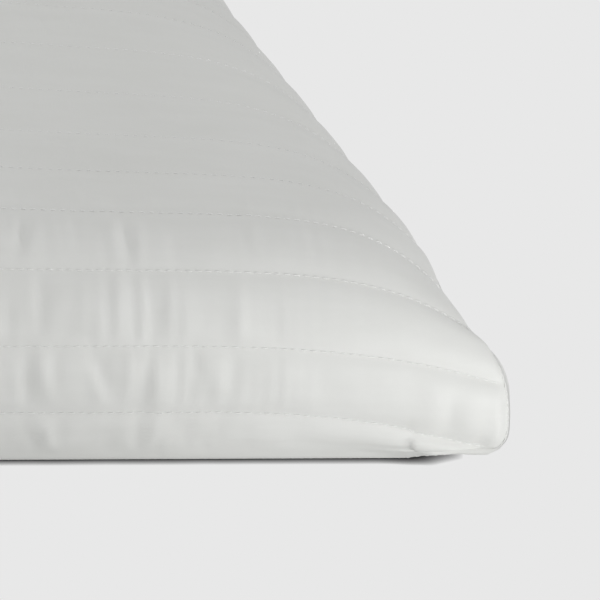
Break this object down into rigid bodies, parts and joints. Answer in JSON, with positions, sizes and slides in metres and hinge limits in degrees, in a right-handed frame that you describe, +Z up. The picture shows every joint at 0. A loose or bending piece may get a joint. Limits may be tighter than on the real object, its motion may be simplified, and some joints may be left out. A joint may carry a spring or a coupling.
{
  "type": "bed pillow",
  "caption": "Rectangular bed pillow with a channel-quilted cotton cover folded at the front long edge, inner casing and fibre filling, lying flat.",
  "frame": {"origin": "centre of the pillow's underside, on the surface that it lies on", "axes": "+X along the long side, -Y towards the folded long edge, +Y towards the back seam, +Z up"},
  "size_m": [0.7116, 0.511, 0.1206],
  "materials": {
    "cotton_face": "off-white cotton sateen with a soft sheen",
    "wadding": "thin white polyester wadding",
    "backing": "white non-woven backing",
    "casing": "plain woven white cotton",
    "filling": "loose white polyester fibre",
    "quilt_thread": "twisted off-white polyester thread",
    "seam_thread": "twisted off-white polyester thread",
    "label": "blank white satin ribbon"
  },
  "bodies": {
    "root": {"back_seam_thread_left": "seam_thread", "back_seam_thread_right": "seam_thread", "care_label": "label", "closing_stitch": "seam_thread", "face_fabric": "cotton_face", "fibre_filling": "filling", "inner_casing": "casing", "quilt_backing": "backing", "quilt_thread_01": "quilt_thread", "quilt_thread_02": "quilt_thread", "quilt_thread_03": "quilt_thread", "quilt_thread_04": "quilt_thread", "quilt_thread_05": "quilt_thread", "quilt_thread_06": "quilt_thread", "quilt_thread_07": "quilt_thread", "quilt_thread_08": "quilt_thread", "quilt_thread_09": "quilt_thread", "quilt_thread_10": "quilt_thread", "quilt_thread_11": "quilt_thread", "quilt_thread_12": "quilt_thread", "quilt_thread_13": "quilt_thread", "quilt_thread_14": "quilt_thread", "quilt_thread_15": "quilt_thread", "quilt_thread_16": "quilt_thread", "quilt_thread_17": "quilt_thread", "quilt_thread_18": "quilt_thread", "quilt_thread_19": "quilt_thread", "quilt_thread_20": "quilt_thread", "quilt_thread_21": "quilt_thread", "quilt_thread_22": "quilt_thread", "quilt_thread_23": "quilt_thread", "quilt_thread_24": "quilt_thread", "quilt_thread_25": "quilt_thread", "quilt_thread_26": "quilt_thread", "quilt_thread_27": "quilt_thread", "quilt_thread_28": "quilt_thread", "quilt_thread_29": "quilt_thread", "quilt_thread_30": "quilt_thread", "quilt_thread_31": "quilt_thread", "quilt_thread_32": "quilt_thread", "quilt_thread_33": "quilt_thread", "quilt_thread_34": "quilt_thread", "quilt_thread_35": "quilt_thread", "quilt_thread_36": "quilt_thread", "quilt_thread_37": "quilt_thread", "quilt_thread_38": "quilt_thread", "quilt_thread_39": "quilt_thread", "quilt_thread_40": "quilt_thread", "quilt_thread_41": "quilt_thread", "quilt_thread_42": "quilt_thread", "quilt_thread_43": "quilt_thread", "quilt_wadding": "wadding", "side_seam_thread_left": "seam_thread", "side_seam_thread_right": "seam_thread"}
  },
  "joints": []
}
